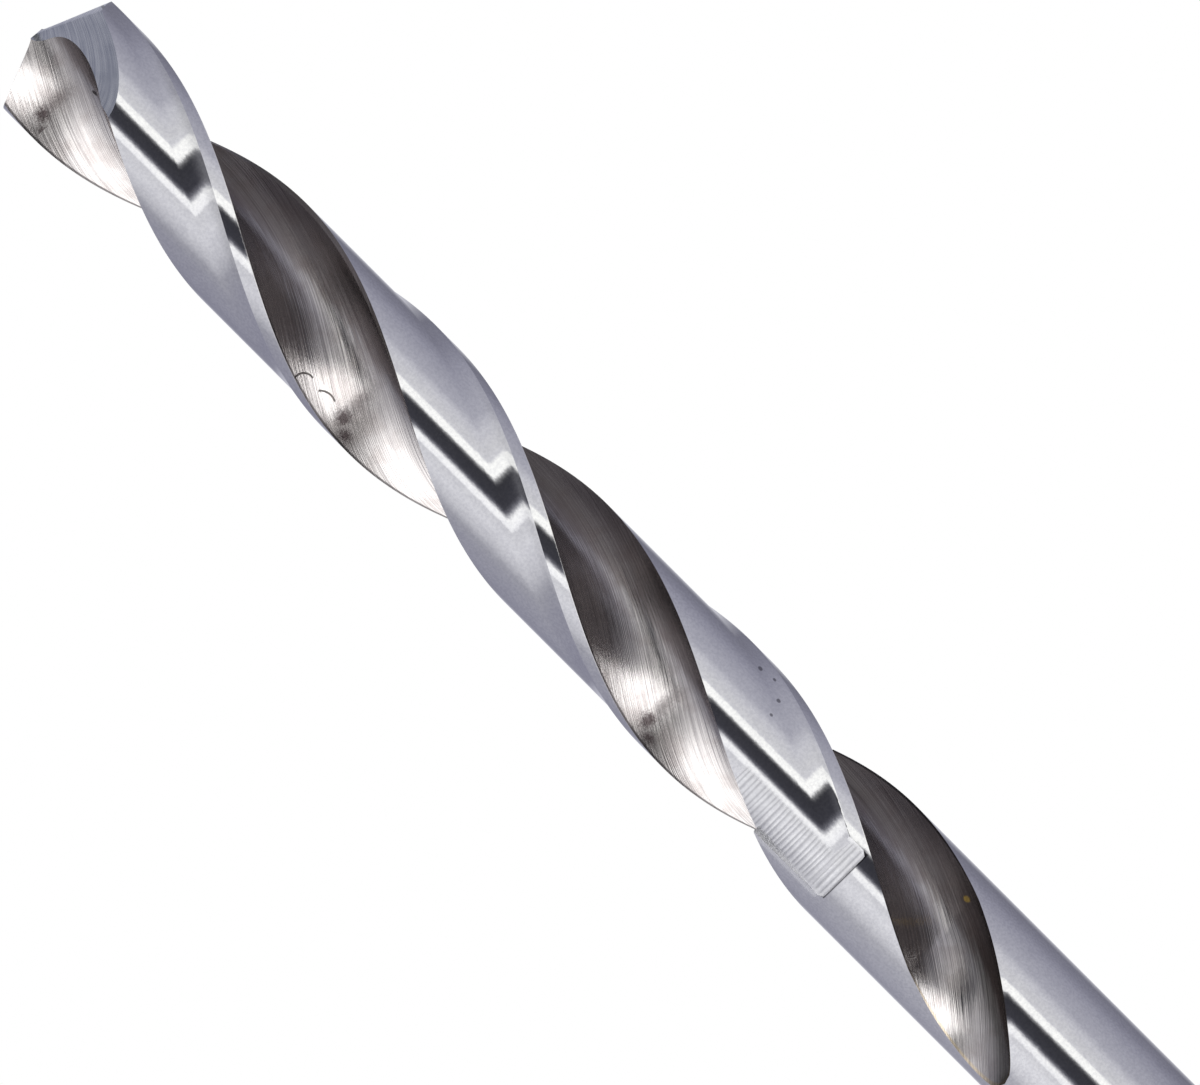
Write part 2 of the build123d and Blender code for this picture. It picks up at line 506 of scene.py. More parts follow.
LEFT_SHARE = Land(END_CORNER_TOP).share(END_LEFT)
RIGHT_SHARE = Land(END_CORNER_TOP).share(END_RIGHT)
PATCH_SHARE = Land(KEPT_END).share(END_RIGHT)


def end_bottom(angle):
    """Height of the square end's lower wall, which turns up at its two corners."""
    from_left = between((angle - END_LEFT) * (RADIUS / CLEARANCE_END_CORNER))
    from_right = between((END_RIGHT - angle) * (RADIUS / CLEARANCE_END_CORNER))
    short = 1.0 - least(from_left, from_right)
    return CLEARANCE_END + CLEARANCE_END_CORNER * (1.0 - sqrt(1.0 - short * short))


def flank_slope(behind_lip):
    """Fall of a flank for each length outward, this angle behind the lip's corner."""
    primary_fall = between(behind_lip, 0.0, PRIMARY_LAND) * math.tan(LIP_RELIEF)
    past_land = between((behind_lip - PRIMARY_LAND) / (HEEL_REACH - PRIMARY_LAND))
    eased = sin(past_land * (math.pi / 2))
    landed = primary_fall + CORNER_FALL / RADIUS
    return landed + (math.tan(HEEL_SLOPE) - landed) * eased


# ---- the drill's body, made of strips that each follow one face of the section ----

# The numbers of the finishes, which the faces carry to their materials.
FLUTE, LAND, FLANK, SHANK = range(4)
SPIRE_START = OVERALL_LENGTH + 0.5 * MM
SPIRE_HEIGHT = 1.5 * MM
CUTTER_TOP = SPIRE_START + 2 * SPIRE_HEIGHT
RIM_RADIUS = RADIUS + RIM_CLEARANCE
JOIN_DISTANCE = 0.004 * MM
# The wheel's marks in a flute: how far they lean, and where they would all run together.
MARK_SLOPE = 0.5
MARK_REACH = 6.2 * MM

# Heights that a strip runs through, each with the number of rows up to it from the last.
SHANK_ROWS = [(0.0, 0), (0.0, 1), (SHANK_CHAMFER, 1), (FLUTE_END, 14)]
FLUTE_ROWS = [(FLUTE_END, 0), (RUN_OUT_START, 44), (END_CORNER_TOP, 26)]
UPPER_ROWS = [
    (END_CORNER_TOP, 0),
    (RELIEF_START, 20),
    (KEPT_END - KEPT_END_RAMP, 70),
    (KEPT_END, 2),
    (RIDGE_TOP, 16),
    (SPIRE_START, 220),
    (SPIRE_START + SPIRE_HEIGHT, 1),
]
LOWER_ROWS = SHANK_ROWS + FLUTE_ROWS[1:]
WHOLE_ROWS = FLUTE_ROWS + UPPER_ROWS[1:]
# How many faces wide each strip is, and how many rows the point grind's strips have.
RAKE_COLUMNS = 16
HEEL_COLUMNS = 16
KEPT_COLUMNS = 12
PATCH_COLUMNS = 20
RELIEVED_COLUMNS = 10
RISE_COLUMNS = 12
MARGIN_COLUMNS = 5
WALL_COLUMNS = 2
FLARE_COLUMNS = 3
END_WALL_ROWS = 2
FLANK_COLUMNS = 96
FLANK_ROWS = 28
CARRIED_ROWS = 2


def row_count(rows):
    return sum(count for _, count in rows)


def climb(up, rows, bottom=None, top=None):
    """The height that these rows reach, where up runs from 0 to 1 over all of them."""
    heights = [height for height, _ in rows]
    if bottom is not None:
        heights[0] = bottom
    if top is not None:
        heights[-1] = top
    height = heights[0]
    below = 0
    for index in range(1, len(rows)):
        count = rows[index][1]
        passed = between((up * row_count(rows) - below) / count)
        height = height + (heights[index] - heights[index - 1]) * passed
        below += count
    return height


def flute_marks(across):
    """Distance across the wheel's marks in a flute, which lie closer together at its edges."""
    reach = across / MARK_REACH
    return log((1.0 + reach) / (1.0 - reach)) * (MARK_REACH / 2)


def spire(height):
    """1 up to the spire, then down to 0 at its tip, which stands above the point."""
    return between((SPIRE_START + SPIRE_HEIGHT - height) / SPIRE_HEIGHT)


class Skin:
    """Strips of surface that repeat about the axis once for each flute."""

    def __init__(self, bench, sizes):
        self.bench = bench
        self.sizes = sizes
        self.strips = []

    def strip(self, finish, columns, rows, place):
        """A grid whose points stand at place(across, up), both from 0 to 1.

        It also gives three numbers for the finish: the distance across the grinding marks,
        the distance along them, and how far the point is from the flute's floor or the lip.
        """
        tree = bpy.data.node_groups.new("Strip", "GeometryNodeTree")
        tree.interface.new_socket("Strip", in_out="OUTPUT", socket_type="NodeSocketGeometry")
        bench = Bench(tree)
        size = {"Size X": 1.0, "Size Y": 1.0, "Vertices X": columns + 1, "Vertices Y": rows + 1}
        grid = bench.node("GeometryNodeMeshGrid", {}, size)
        right, high, _ = bench.split(bench.node("GeometryNodeInputPosition").outputs[0])
        across = right + 0.5
        up = high + 0.5
        *spot, over, along, side = place(across, up)
        grain = bench.vector(over, along, side)
        ground = {"Geometry": grid.outputs["Mesh"], "Name": "grain", "Value": grain}
        corners = {"data_type": "FLOAT_VECTOR", "domain": "CORNER"}
        grained = bench.node("GeometryNodeStoreNamedAttribute", corners, ground).outputs[0]
        marks = {"Geometry": grained, "Name": "finish", "Value": finish}
        faces = {"data_type": "INT", "domain": "FACE"}
        marked = bench.node("GeometryNodeStoreNamedAttribute", faces, marks).outputs[0]
        spots = {"Geometry": marked, "Position": bench.vector(*spot)}
        placed = bench.node("GeometryNodeSetPosition", {}, spots).outputs[0]
        bench.node("NodeGroupOutput", {}, {0: placed})
        self.strips.append(self.bench.node("GeometryNodeGroup", {"node_tree": tree}).outputs[0])

    def flute_strip(self, columns, face):
        """One face of the flute, from the run-out up past the point."""

        def place(across, up):
            height = climb(up, WHOLE_ROWS)
            section = Section(height, Land(height).heel_radius)
            x, y = getattr(section, face)(across)
            side = section.shift - x
            if face != "rake":
                side = side + (y - section.web / 2)
            x, y = x * spire(height), y * spire(height)
            turned_x = x * cos(section.turn) - y * sin(section.turn)
            turned_y = x * sin(section.turn) + y * cos(section.turn)
            over = height * MARK_SLOPE - flute_marks(side)
            return turned_x, turned_y, height, over, height, side

        self.strip(FLUTE, columns, row_count(WHOLE_ROWS), place)

    def land_strip(self, columns, start, end, start_radius, end_radius, bottom=None):
        """One face of the land from the square end up, between two angles and two radii."""

        def place(across, up):
            nominal = climb(up, UPPER_ROWS)
            land = Land(nominal)
            angle = blend(start(land), end(land), across)
            height = nominal
            if bottom is not None:
                height = climb(up, UPPER_ROWS, bottom=bottom(angle))
            radius = blend(start_radius(land, angle), end_radius(land, angle), across)
            radius = radius * spire(height)
            beside = (land.lead - angle) * RADIUS
            x, y = radius * cos(angle), radius * sin(angle)
            return x, y, height, angle * RADIUS, height, beside

        self.strip(LAND, columns, row_count(UPPER_ROWS), place)

    def bar_strip(self, columns, start_share, end_share, square_end=False):
        """The shank and the full-size land above it, between two shares of the land's width."""

        def place(across, up):
            nominal = climb(up, LOWER_ROWS)
            angle = Land(most(nominal, FLUTE_END)).place(blend(start_share, end_share, across))
            top = END_CORNER_TOP
            if square_end:
                top = end_bottom(blend(END_LEFT, END_RIGHT, across))
            height = climb(up, LOWER_ROWS, top=top)
            rim = between(up * row_count(LOWER_ROWS))
            radius = least(bar_radius(nominal), SHANK_RADIUS - SHANK_CHAMFER + height) * rim
            return radius * cos(angle), radius * sin(angle), height, angle * RADIUS, height, 0.0

        self.strip(SHANK, columns, row_count(LOWER_ROWS), place)

    def end_wall(self):
        """The square end's lower wall, from the bar's surface in to the relieved radius."""

        def place(across, up):
            angle = blend(END_LEFT, END_RIGHT, across)
            inner = Land(END_CORNER_TOP).relieved(angle)
            height = end_bottom(angle)
            radius = blend(bar_radius(END_CORNER_TOP), inner, up)
            return radius * cos(angle), radius * sin(angle), height, angle * RADIUS, height, 0.0

        self.strip(LAND, PATCH_COLUMNS, END_WALL_ROWS, place)

    def closed(self):
        """All strips, repeated about the axis and joined along their edges."""
        bench = self.bench
        one = bench.node("GeometryNodeJoinGeometry", {}, {0: self.strips}).outputs[0]
        flutes = self.sizes.outputs["Flutes"]
        on_axis = {"Count": flutes, "Offset": (0.0, 0.0, 0.0)}
        centres = bench.node("GeometryNodeMeshLine", {}, on_axis)
        index = bench.value("GeometryNodeInputIndex")
        spin = bench.vector(0.0, 0.0, index / flutes * (2 * math.pi))
        copies = {"Points": centres.outputs[0], "Instance": one, "Rotation": spin}
        around = bench.node("GeometryNodeInstanceOnPoints", {}, copies).outputs[0]
        real = bench.node("GeometryNodeRealizeInstances", {}, {0: around}).outputs[0]
        merge = {"Geometry": real, "Distance": self.sizes.outputs["Join distance"]}
        return bench.node("GeometryNodeMergeByDistance", {}, merge).outputs[0]


def body_skin(bench, sizes):
    """The fluted bar with its relieved lands, carried on past the point as a closed spire."""
    skin = Skin(bench, sizes)
    skin.flute_strip(RAKE_COLUMNS, "rake")
    skin.flute_strip(HEEL_COLUMNS, "heel")
    skin.flute_strip(WALL_COLUMNS, "wall")
    skin.flute_strip(FLARE_COLUMNS, "flare")
    skin.bar_strip(KEPT_COLUMNS, 0.0, LEFT_SHARE)
    skin.bar_strip(PATCH_COLUMNS, LEFT_SHARE, RIGHT_SHARE, square_end=True)
    skin.bar_strip(MARGIN_COLUMNS, RIGHT_SHARE, 1.0)
    skin.end_wall()

    def heel(land):
        return land.heel

    def lead(land):
        return land.lead

    def full(land, _):
        return land.radius

    def heel_radius(land, _):
        return land.heel_radius

    kept, patch = Land.kept_edge, Land.patch_edge
    rise, margin = Land.rise_edge, Land.margin_edge
    relieved = Land.relieved
    skin.land_strip(KEPT_COLUMNS, heel, kept, heel_radius, heel_radius)
    skin.land_strip(WALL_COLUMNS, kept, kept, heel_radius, relieved)
    skin.land_strip(PATCH_COLUMNS, kept, patch, relieved, relieved, bottom=end_bottom)
    skin.land_strip(RELIEVED_COLUMNS, patch, rise, relieved, relieved)
    skin.land_strip(RISE_COLUMNS, rise, margin, relieved, relieved)
    skin.land_strip(MARGIN_COLUMNS, margin, lead, full, full)
    return skin.closed()


def grind_skin(bench, sizes):
    """What the point grind takes away: all that is above the two flanks."""
    skin = Skin(bench, sizes)
    rows = FLANK_ROWS + CARRIED_ROWS

    def flank_point(turned, out):
        """A point of the flank, turned from 0 to 1 back from the chisel edge's end."""
        angle = CHISEL_TURN - math.pi * turned
        rim_height = OVERALL_LENGTH - RIM_RADIUS * flank_slope(CORNER_TURN - angle)
        chisel = CHISEL_HALF * (1.0 - 2 * turned)
        x = blend(chisel * math.cos(CHISEL_TURN), RIM_RADIUS * cos(angle), out)
        y = blend(chisel * math.sin(CHISEL_TURN), RIM_RADIUS * sin(angle), out)
        return x, y, blend(OVERALL_LENGTH, rim_height, out)

    def carried_up(x, y, height, row):
        """The same point, carried up the outside on the next row and in to the axis last."""
        raised = between(row - FLANK_ROWS)
        inward = 1.0 - between(row - FLANK_ROWS - 1)
        out = row * (RIM_RADIUS / FLANK_ROWS)
        return x * inward, y * inward, blend(height, CUTTER_TOP, raised), out, x + y, y

    def flank(across, up):
        row = up * rows
        out = between(row / FLANK_ROWS)
        return carried_up(*flank_point(1.0 - across, out), row)

    def step(across, up):
        row = up * rows
        out = between(row / FLANK_ROWS)
        x, y, high = flank_point(0.0, out)
        _, _, low = flank_point(1.0, out)
        return carried_up(x, y, blend(high, low, across), row)

    skin.strip(FLANK, FLANK_COLUMNS, rows, flank)
    skin.strip(FLANK, 1, rows, step)
    return skin.closed()


# ---- finishes of the steel ----


def paint(red, green, blue):
    """The linear colour of this sRGB colour, each part from 0 to 255."""
    linear = []
    for level in (red, green, blue):
        share = level / 255
        linear.append(share / 12.92 if share <= 0.04045 else ((share + 0.055) / 1.055) ** 2.4)
    return (*linear, 1.0)


# Colours of the steel, as pairs of shades, of what marks it, and of painted light and shade on
# it.
FLUTE_SHADES = (paint(126, 122, 125), paint(212, 208, 208))
HEEL_BROWN = paint(92, 74, 70)
STAIN_BROWN = paint(110, 92, 88)
# The colour of the dark reflections painted into the flutes.
REFLECTION_DARK = paint(62, 50, 53)
EDGE_SHADES = (paint(62, 59, 62), paint(190, 177, 158))
SPECK_GOLD = paint(238, 206, 120)
SCRATCH_DARK = paint(52, 46, 46)
LAND_SHADES = (paint(216, 216, 221), paint(242, 242, 244))
# Shade painted into the grooves of the wheel's feed marks.
GROOVE_SHADE = paint(140, 140, 146)
# A highlight painted pale along the burr at each leading edge.
BURR_HIGHLIGHT_PALE = paint(252, 250, 248)
PIT_DARK = paint(86, 84, 92)
FLANK_SHADES = (paint(160, 166, 184), paint(240, 243, 250))
CORNER_DARK = paint(60, 66, 72)
SHANK_SHADES = (paint(214, 214, 219), paint(242, 242, 244))
SHADOW_DARK = paint(70, 68, 74)
FLOOR_PALE = paint(236, 236, 238)

# How deep the relief of each finish goes, in millimetres.
FLUTE_RELIEF = 0.009
MOTTLE_RELIEF = 0.0022
FLANK_RELIEF = 0.008

# Marks on the drill's front and dark reflections painted in its flutes, in millimetres. A place
# is how far right and how far up it lies, and a spot then has its width and its height.
DARK_REFLECTION_PLACES = [(-2.75, 113.75), (-2.82, 91.34), (-2.75, 68.87)]
SCRATCHES = [
    {"centre": (-3.03, 94.06), "radius": 0.55, "middle": (-2.68, 94.4), "reach": 0.5},
    {"centre": (-3.26, 92.65), "radius": 0.79, "middle": (-2.49, 92.8), "reach": 0.54},
]
SCRATCH_EDGE = (0.02, 0.06)
LIP_PIT = (-0.04, 112.6, 0.08, 0.2)
GOLD_SPECK = (2.41, 50.5, 0.16, 0.22)
CORNER_MARK = (3.46, 115.4, 0.1, 0.25)
LAND_PITS = [
    (3.3, 66.65, 0.1, 0.16),
    (3.41, 65.71, 0.07, 0.12),
    (2.78, 64.8, 0.1, 0.14),
    (1.99, 64.55, 0.08, 0.1),
]

# Ranges over which a detail comes or goes, in millimetres. The edge line's is counted out from
# the axis, that of the burr's painted highlight from the leading edge, and the others up from the
# end of the shank.
EDGE_LINE = (RADIUS / MM - 0.17, RADIUS / MM - 0.1)
BURR_HIGHLIGHT = (0.03, 0.07)
RUN_OUT_BROWN = (RUN_OUT_START / MM - 6.0, RUN_OUT_START / MM + 3.0)
SHADOW_FOOT = (CLEARANCE_END / MM - 0.09, CLEARANCE_END / MM - 0.03)
# The shadow under the square end stops at this height, and keeps this angle from its corner.
SHADOW_HEAD = CLEARANCE_END / MM + 0.2
SHADOW_INSET = 0.04


class Finish(Bench):
    """A steel finish: its colour, gloss and relief, put together from patterns on the metal."""

    def __init__(self, name):
        self.material = bpy.data.materials.new(name)
        self.material.use_nodes = True
        super().__init__(self.material.node_tree)
        self.tree.nodes.clear()
        here = self.node("ShaderNodeTexCoord").outputs["Object"]
        self.here = self.scaled(here, 1 / MM)
        self.x, self.y, self.z = self.split(self.here)
        grain = self.node("ShaderNodeAttribute", {"attribute_name": "grain"}).outputs["Vector"]
        self.over, self.along, self.side = self.split(self.scaled(grain, 1 / MM))

    def scaled(self, vector, size):
        """The vector, this many times as long."""
        scale = {0: vector, "Scale": size}
        return self.node("ShaderNodeVectorMath", {"operation": "SCALE"}, scale).outputs[0]

    def speckle(self, size, detail=3.0):
        """Noise from 0 to 1 with spots of about this size in millimetres."""
        sizes = {"Vector": self.here, "Scale": 1 / size, "Detail": detail}
        return self.value("ShaderNodeTexNoise", {}, sizes)

    def streaks(self, width, length, detail=4.0):
        """Noise from 0 to 1, drawn out along the grinding marks."""
        spot = self.vector(self.over / width, self.along / length, 0.0)
        sizes = {"Vector": spot, "Scale": 1.0, "Detail": detail}
        return self.value("ShaderNodeTexNoise", {}, sizes)

    def sharpened(self, number, low, high):
        """0 below the low value, 1 above the high one, and smooth between."""
        steps = {"interpolation_type": "SMOOTHSTEP"}
        limits = {"Value": number, "From Min": low, "From Max": high}
        return self.value("ShaderNodeMapRange", steps, limits)

    def spot(self, x, z, wide, tall, ragged=0.3, soft=0.7):
        """1 on a ragged spot of the drill's front at this place, in millimetres."""
        apart_x = (self.x - x) / wide
        apart_z = (self.z - z) / tall
        apart = sqrt(apart_x * apart_x + apart_z * apart_z) + (self.speckle(0.12) - 0.5) * ragged
        return (1.0 - self.sharpened(apart, soft, 1.1)) * (self.y < 0.0)

    def scratch(self, centre, radius, middle, reach):
        """1 on a thin arc on the drill's front, round a centre and within reach of its middle."""
        away = self.math("ABSOLUTE", self.apart(*centre) - radius)
        line = 1.0 - self.sharpened(away, *SCRATCH_EDGE)
        return line * (self.y < 0.0) * (self.apart(*middle) < reach)

    def apart(self, x, z):
        """Distance from this place, as seen from the drill's front."""
        return sqrt((self.x - x) * (self.x - x) + (self.z - z) * (self.z - z))

    def done(self, colour, roughness, relief, depth):
        """The material, from its colour, roughness and relief, whose depth is in millimetres."""
        bumps = {"Height": relief, "Distance": depth * MM, "Strength": 1.0}
        bump = self.node("ShaderNodeBump", {}, bumps).outputs[0]
        parts = {"Base Color": colour, "Metallic": 1.0, "Roughness": roughness, "Normal": bump}
        shader = self.node("ShaderNodeBsdfPrincipled", {}, parts)
        self.node("ShaderNodeOutputMaterial", {}, {"Surface": shader.outputs[0]})
        return self.material


def wheel_ground_flute():
    """Flute faces: streaked along the wheel's marks, browner and duller than the lands."""
    steel = Finish("wheel_ground_flute")
    fine = steel.sharpened(steel.streaks(0.06, 9.0), 0.3, 0.7)
    broad = steel.streaks(0.3, 14.0, 2.0)
    ragged = (broad - 0.5) * 1.6
    heel = steel.sharpened(steel.side + ragged, 0.7, 1.5)
    run_out = 1.0 - steel.sharpened(steel.z, *RUN_OUT_BROWN)
    stain = steel.sharpened(steel.speckle(1.3), 0.45, 0.7)
    edge = steel.sharpened(sqrt(steel.x * steel.x + steel.y * steel.y), *EDGE_LINE)
    # Dark patches painted at the same place in each half-turn of a flute, where it reflects a
    # dark part of the room: a painted dark reflection, which is also made rougher.
    dark_reflections = []
    for x, z in DARK_REFLECTION_PLACES:
        dark_reflections += [
            steel.spot(x, z, wide=0.7, tall=0.6, ragged=1.1, soft=0.2),
            steel.spot(x - 0.65, z - 0.7, wide=0.5, tall=0.65, ragged=1.2, soft=0.1),
            steel.spot(x + 1.1, z - 0.05, wide=1.6, tall=0.6, ragged=0.9, soft=0.0) * 0.6,
        ]
    dark_reflection = greatest(dark_reflections)
    scratches = [steel.scratch(**scratch) for scratch in SCRATCHES]
    dark = greatest([*scratches, steel.spot(*LIP_PIT)])
    base = steel.mixed(fine * 0.5 + broad * 0.5, *FLUTE_SHADES)
    base = steel.mixed(heel * 0.45 + heel * run_out * 0.35, base, HEEL_BROWN)
    base = steel.mixed(stain * 0.22, base, STAIN_BROWN)
    # Paints the dark reflections into the flute's colour.
    base = steel.mixed(dark_reflection * (fine * 0.2 + 0.75), base, REFLECTION_DARK)
    base = steel.mixed(edge * 0.85, base, steel.mixed(run_out, *EDGE_SHADES))
    gold = steel.mixed(steel.spot(*GOLD_SPECK), base, SPECK_GOLD)
    colour = steel.mixed(dark * 0.85, gold, SCRATCH_DARK)
    roughness = 0.11 + fine * 0.09 + stain * 0.05 + dark_reflection * 0.1
    relief = fine * 0.6 + broad * 0.6 - dark
    return steel.done(colour, roughness, relief, FLUTE_RELIEF)


def ground_land():
    """Lands and margins: bright and smooth with a faint mottle, and rough on the square end."""
    steel = Finish("ground_land")
    mottle = steel.speckle(0.26, 5.0)
    angle, height = steel.over * (MM / RADIUS), steel.along * MM
    patch = most(wheel_patch(angle, height), wheel_patch(angle + RIDGE_SOFT * 2.0, height))
    grooves = feed_marks(angle, height)
    pits = greatest([steel.spot(*pit) for pit in LAND_PITS])
    # The burr along the leading edge: a pale line painted there as a highlight, which is also
    # rougher.
    burr_highlight = 1.0 - steel.sharpened(steel.side, *BURR_HIGHLIGHT)
    grain = steel.sharpened(steel.speckle(0.16, 4.0), 0.3, 0.7)
    base = steel.mixed(grain * 0.5 + steel.speckle(0.7) * 0.5, *LAND_SHADES)
    # The feed marks' grooves are painted grey: painted shade in the grooves.
    base = steel.mixed(grooves * 0.45, base, GROOVE_SHADE)
    base = steel.mixed(burr_highlight * 0.6, base, BURR_HIGHLIGHT_PALE)
    colour = steel.mixed(pits * 0.7, base, PIT_DARK)
    roughness = 0.03 + mottle * 0.06 + patch * 0.24 + burr_highlight * 0.2
    return steel.done(colour, roughness, mottle - pits, MOTTLE_RELIEF)


def ground_flank():
    """The point's flanks: bluish, with lines from the lip to the heel."""
    steel = Finish("ground_flank")
    lines = steel.streaks(0.09, 5.0)
    crisp = steel.sharpened(lines, 0.3, 0.7)
    base = steel.mixed(crisp * 0.5 + steel.speckle(0.9) * 0.5, *FLANK_SHADES)
    colour = steel.mixed(steel.spot(*CORNER_MARK) * 0.8, base, CORNER_DARK)
    return steel.done(colour, 0.2 + lines * 0.14, lines, FLANK_RELIEF)


def satin_shank():
    """The shank and the full land above it: like the lands, a little duller."""
    steel = Finish("satin_shank")
    mottle = steel.speckle(0.24, 5.0)
    grain = steel.sharpened(steel.speckle(0.15, 4.0), 0.3, 0.7)
    foot = steel.sharpened(steel.z, *SHADOW_FOOT) * (steel.z < SHADOW_HEAD)
    angle = steel.over * (MM / RADIUS)
    shadow = foot * (angle > END_LEFT + SHADOW_INSET) * (angle < END_RIGHT)
    base = steel.mixed(grain * 0.5 + steel.speckle(0.8) * 0.5, *SHANK_SHADES)
    colour = steel.mixed(shadow * 0.85, base, SHADOW_DARK)
    return steel.done(colour, 0.03 + mottle * 0.06, mottle, MOTTLE_RELIEF)


STEELS = {
    FLUTE: wheel_ground_flute(),
    LAND: ground_land(),
    FLANK: ground_flank(),
    SHANK: satin_shank(),
}


# ---- the drill ----

SHARP_ANGLE = 14 * DEGREE


def ground_drill():
    """The whole drill as one closed mesh: the fluted bar less what the point grind takes."""
    tree = bpy.data.node_groups.new("Twist drill", "GeometryNodeTree")
    add = tree.interface.new_socket
    flutes = add("Flutes", in_out="INPUT", socket_type="NodeSocketInt")
    join = add("Join distance", in_out="INPUT", socket_type="NodeSocketFloat")
    add("Drill", in_out="OUTPUT", socket_type="NodeSocketGeometry")
    bench = Bench(tree)
    sizes = bench.node("NodeGroupInput")
    cut = {"operation": "DIFFERENCE", "solver": "MANIFOLD"}
    solids = {0: body_skin(bench, sizes), 1: grind_skin(bench, sizes)}
    drill = bench.node("GeometryNodeMeshBoolean", cut, solids).outputs[0]
    whole = {"data_type": "INT"}
    mark = bench.value("GeometryNodeInputNamedAttribute", whole, {"Name": "finish"})
    drill = bench.node("GeometryNodeRealizeInstances", {}, {0: drill}).outputs[0]
    for finish, material in STEELS.items():
        same = bench.math("COMPARE", mark, finish, 0.5)
        finished = {"Geometry": drill, "Selection": same, "Material": material}
        drill = bench.node("GeometryNodeSetMaterial", {}, finished).outputs[0]
    bench.node("NodeGroupOutput", {}, {0: drill})

    holder = bpy.data.objects.new("drill_maker", bpy.data.meshes.new("drill_maker"))
    bpy.context.scene.collection.objects.link(holder)
    modifier = holder.modifiers.new("Twist drill", "NODES")
    modifier.node_group = tree
    modifier[flutes.identifier] = FLUTES
    modifier[join.identifier] = JOIN_DISTANCE
    evaluated = holder.evaluated_get(bpy.context.evaluated_depsgraph_get())
    mesh = bpy.data.meshes.new_from_object(evaluated)
    bpy.data.objects.remove(holder)
    return mesh


mesh = ground_drill()
mesh.name = "twist_drill"
mesh.polygons.foreach_set("use_smooth", [True] * len(mesh.polygons))
mesh.set_sharp_from_angle(angle=SHARP_ANGLE)
drill = bpy.data.objects.new("twist_drill", mesh)
bpy.context.scene.collection.objects.link(drill)
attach(drill, "root")
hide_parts("drill_bit")


# ---- floor, light and camera ----

FLOOR_RADIUS = 0.4
FLOOR_SIDES = 96


def pale_floor():
    """A round floor under the drill, which the steel doesn't reflect."""
    shape = bmesh.new()
    bmesh.ops.create_circle(shape, cap_ends=True, segments=FLOOR_SIDES, radius=FLOOR_RADIUS)
    disc = bpy.data.meshes.new("floor")
    shape.to_mesh(disc)
    shape.free()
    material = bpy.data.materials.new("pale_floor")
    material.use_nodes = True
    material.node_tree.nodes.clear()
    bench = Bench(material.node_tree)
    plain = bench.node("ShaderNodeBsdfDiffuse", {}, {"Color": FLOOR_PALE}).outputs[0]
    clear = bench.node("ShaderNodeBsdfTransparent").outputs[0]
    glossy = bench.node("ShaderNodeLightPath").outputs["Is Glossy Ray"]
    seen = bench.node("ShaderNodeMixShader", {}, {0: glossy, 1: plain, 2: clear}).outputs[0]
    bench.node("ShaderNodeOutputMaterial", {}, {"Surface": seen})
    disc.materials.append(material)
    floor = bpy.data.objects.new("floor", disc)
    bpy.context.scene.collection.objects.link(floor)


# What the steel reflects, as rings of stops: azimuth, level of light, and how blue it is.
# Azimuths are degrees from the camera's side of the drill, counted to the camera's right.
EYE_LEVEL = [
    (-180, 0.60, 0.12),
    (-166, 0.46, 0.16),
    (-156, 0.29, 0.22),
    (-145, 0.28, 0.24),
    (-120, 0.32, 0.20),
    (-95, 0.34, 0.17),
    (-80, 0.38, 0.12),
    (-65, 0.60, 0.06),
    (-45, 0.77, 0.04),
    (-28, 0.74, 0.03),
    (-26, 1.08, 0.0),
    (-18, 1.14, -0.02),
    (-15.5, 0.55, 0.04),
    (-13, 0.16, 0.14),
    (-9, 0.05, 0.22),
    (8, 0.04, 0.18),
    (11, 0.17, 0.02),
    (13, 0.55, -0.01),
    (14.5, 1.22, -0.04),
    (24, 1.16, -0.04),
    (26.5, 0.76, 0.03),
    (33, 0.72, 0.02),
    (48, 0.66, 0.06),
    (60, 0.48, 0.12),
    (100, 0.34, 0.20),
    (120, 0.25, 0.24),
    (145, 0.20, 0.24),
    (156, 0.33, 0.14),
    (168, 0.52, 0.10),
    (180, 0.60, 0.12),
]
CEILING = [
    (-180, 0.55, 0.15),
    (-150, 0.05, -0.05),
    (-110, 0.05, -0.1),
    (-80, 0.09, -0.08),
    (-45, 0.17, 0.0),
    (-15, 0.32, 0.06),
    (30, 0.32, 0.06),
    (65, 0.16, 0.0),
    (110, 0.12, 0.0),
    (150, 0.06, 0.0),
    (180, 0.55, 0.15),
]
LOW_LIGHTS = [
    (-180, 1.2, 0.0),
    (-130, 2.1, -0.02),
    (-95, 3.0, -0.03),
    (-55, 3.3, -0.03),
    (-38, 2.5, -0.02),
    (-28, 1.1, -0.02),
    (-18, 0.42, -0.03),
    (3, 0.36, -0.03),
    (9, 3.5, -0.03),
    (55, 3.7, -0.03),
    (75, 3.4, -0.03),
    (110, 1.0, 0.0),
    (150, 0.4, 0.0),
    (180, 1.2, 0.0),
]
OVERHEAD = (0.34, 0.34, 0.38)
WHITE = (1.0, 1.0, 1.0)
BLACK = (0.0, 0.0, 0.0, 1.0)
# The strength of the whole room. Its colours are shares of this light.
CLEAR_LIGHT = 4.0

# Where one part of the room gives way to the next, in degrees of azimuth, or above or below
# eye level.
SHADE_START, SHADE_END = (25.0, 75.0), (140.0, 165.0)
SHADE_TOP = (-12.0, -3.0)
SHADE_SHARE = 0.93
BACK_START = (150.0, 170.0)
EYE_TOP, CEILING_FOOT = 12.0, 34.0
BACK_LOWER, BACK_CRISPER = 9.0, 10.0
OVERHEAD_FOOT = (50.0, 62.0)
FLOOR_START = (42.0, 58.0)
FLOOR_SHARE = 0.8

